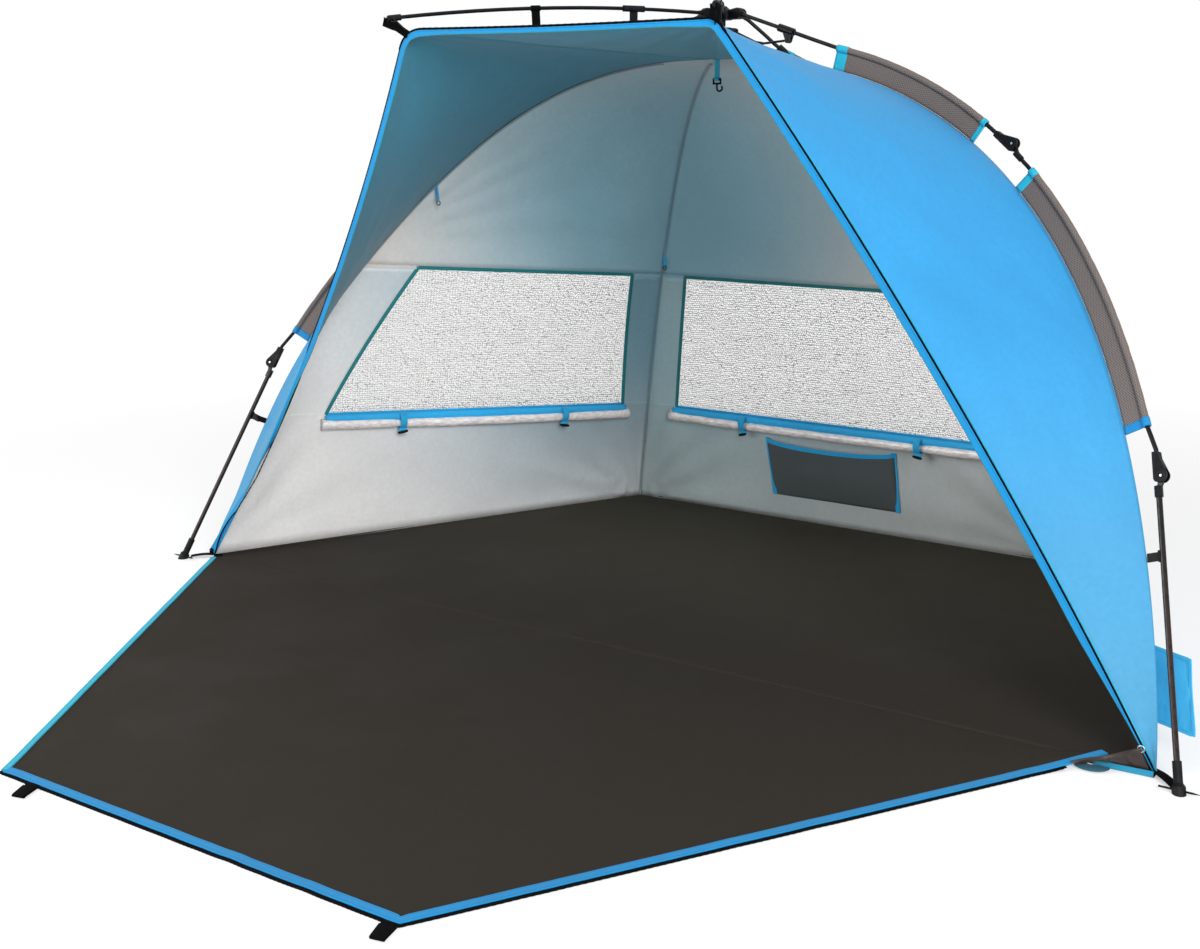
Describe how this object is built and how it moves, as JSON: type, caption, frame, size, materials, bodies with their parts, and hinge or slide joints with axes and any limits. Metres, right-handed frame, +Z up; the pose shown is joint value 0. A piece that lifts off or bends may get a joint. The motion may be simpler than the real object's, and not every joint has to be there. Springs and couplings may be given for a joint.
{
  "type": "beach tent",
  "caption": "Pop-up beach tent: a folding frame with one hub and jointed legs, a sewn cover with netted windows, a porch sheet, pockets and a lantern hook.",
  "frame": {"origin": "on the ground, on the underside of the ground sheet, straight below the cover's apex", "axes": "+X to the right seen from the doorway, +Y from the doorway to the back wall, +Z up"},
  "size_m": [2.578, 2.4456, 1.355],
  "materials": {
    "silver_cloth": "silver coated polyester",
    "blue_cloth": "plain weave polyester",
    "floor_cloth": "brown coated sheet",
    "net": "fine net",
    "pocket_net": "coarse net",
    "pole_black": "black fibreglass",
    "tube_bronze": "brown enamel",
    "plastic_black": "moulded",
    "webbing_black": "woven webbing",
    "webbing_cyan": "woven webbing"
  },
  "bodies": {
    "cover_and_frame": {"left_wall": "silver_cloth", "window_net_left": "net", "window_shutter_left": "silver_cloth", "right_wall": "silver_cloth", "window_net_right": "net", "window_shutter_right": "silver_cloth", "back_wall": "silver_cloth", "window_net_back": "net", "window_shutter_back": "silver_cloth", "net_pocket": "pocket_net", "sand_pocket": "blue_cloth", "brow_left": "blue_cloth", "brow_pole_left": "pole_black", "brow_cap_left": "plastic_black", "brow_clip_left": "plastic_black", "brow_strap_left": "webbing_black", "brow_right": "blue_cloth", "brow_pole_right": "pole_black", "brow_cap_right": "plastic_black", "brow_clip_right": "plastic_black", "brow_strap_right": "webbing_black", "brow_front": "blue_cloth", "floor": "floor_cloth", "hub_crown": "plastic_black", "hub_runner": "plastic_black", "upper_pole_right": "pole_black", "middle_pole_right": "pole_black", "upper_knuckle_right": "plastic_black", "lower_knuckle_right": "plastic_black", "strut_right": "pole_black", "leg_strap_right": "plastic_black", "upper_pole_left": "pole_black", "middle_pole_left": "pole_black", "upper_knuckle_left": "plastic_black", "lower_knuckle_left": "plastic_black", "strut_left": "pole_black", "leg_strap_left": "plastic_black", "upper_pole_back_right": "pole_black", "middle_pole_back_right": "pole_black", "upper_knuckle_back_right": "plastic_black", "lower_knuckle_back_right": "plastic_black", "strut_back_right": "pole_black", "leg_strap_back_right": "plastic_black", "upper_pole_back_left": "pole_black", "middle_pole_back_left": "pole_black", "upper_knuckle_back_left": "plastic_black", "lower_knuckle_back_left": "plastic_black", "strut_back_left": "pole_black", "leg_strap_back_left": "plastic_black", "apex_strap": "webbing_cyan"},
    "lower_leg_right": {"lower_tube_right": "tube_bronze", "foot_right": "plastic_black"},
    "lower_leg_left": {"lower_tube_left": "tube_bronze", "foot_left": "plastic_black"},
    "lower_leg_back_right": {"lower_tube_back_right": "tube_bronze", "foot_back_right": "plastic_black"},
    "lower_leg_back_left": {"lower_tube_back_left": "tube_bronze", "foot_back_left": "plastic_black"},
    "porch_flap": {"porch": "floor_cloth"},
    "hook": {"lantern_hook": "plastic_black"}
  },
  "joints": [
    {"name": "lower_leg_fold_right", "type": "hinge", "parent": "cover_and_frame", "child": "lower_leg_right", "pos_m": [1.12677, -0.32773, 0.49436], "axis": [-0.2999, -0.8988, 0.3197], "range_deg": [0, 150]},
    {"name": "lower_leg_fold_left", "type": "hinge", "parent": "cover_and_frame", "child": "lower_leg_left", "pos_m": [-1.12677, -0.32773, 0.49436], "axis": [-0.2999, 0.8988, -0.3197], "range_deg": [0, 150]},
    {"name": "lower_leg_fold_back_right", "type": "hinge", "parent": "cover_and_frame", "child": "lower_leg_back_right", "pos_m": [0.55284, 0.58634, 0.49528], "axis": [0.7276, -0.686, 0], "range_deg": [0, 150]},
    {"name": "lower_leg_fold_back_left", "type": "hinge", "parent": "cover_and_frame", "child": "lower_leg_back_left", "pos_m": [-0.55284, 0.58634, 0.49528], "axis": [0.7276, 0.686, 0], "range_deg": [0, 150]},
    {"name": "porch_fold", "type": "hinge", "parent": "cover_and_frame", "child": "porch_flap", "pos_m": [0, -0.49, 0.0012], "axis": [-1, 0, 0], "range_deg": [0, 80]},
    {"name": "hook_swing", "type": "hinge", "parent": "cover_and_frame", "child": "hook", "pos_m": [0, 0, 1.1971], "axis": [1, 0, 0], "range_deg": [-70, 70]}
  ]
}
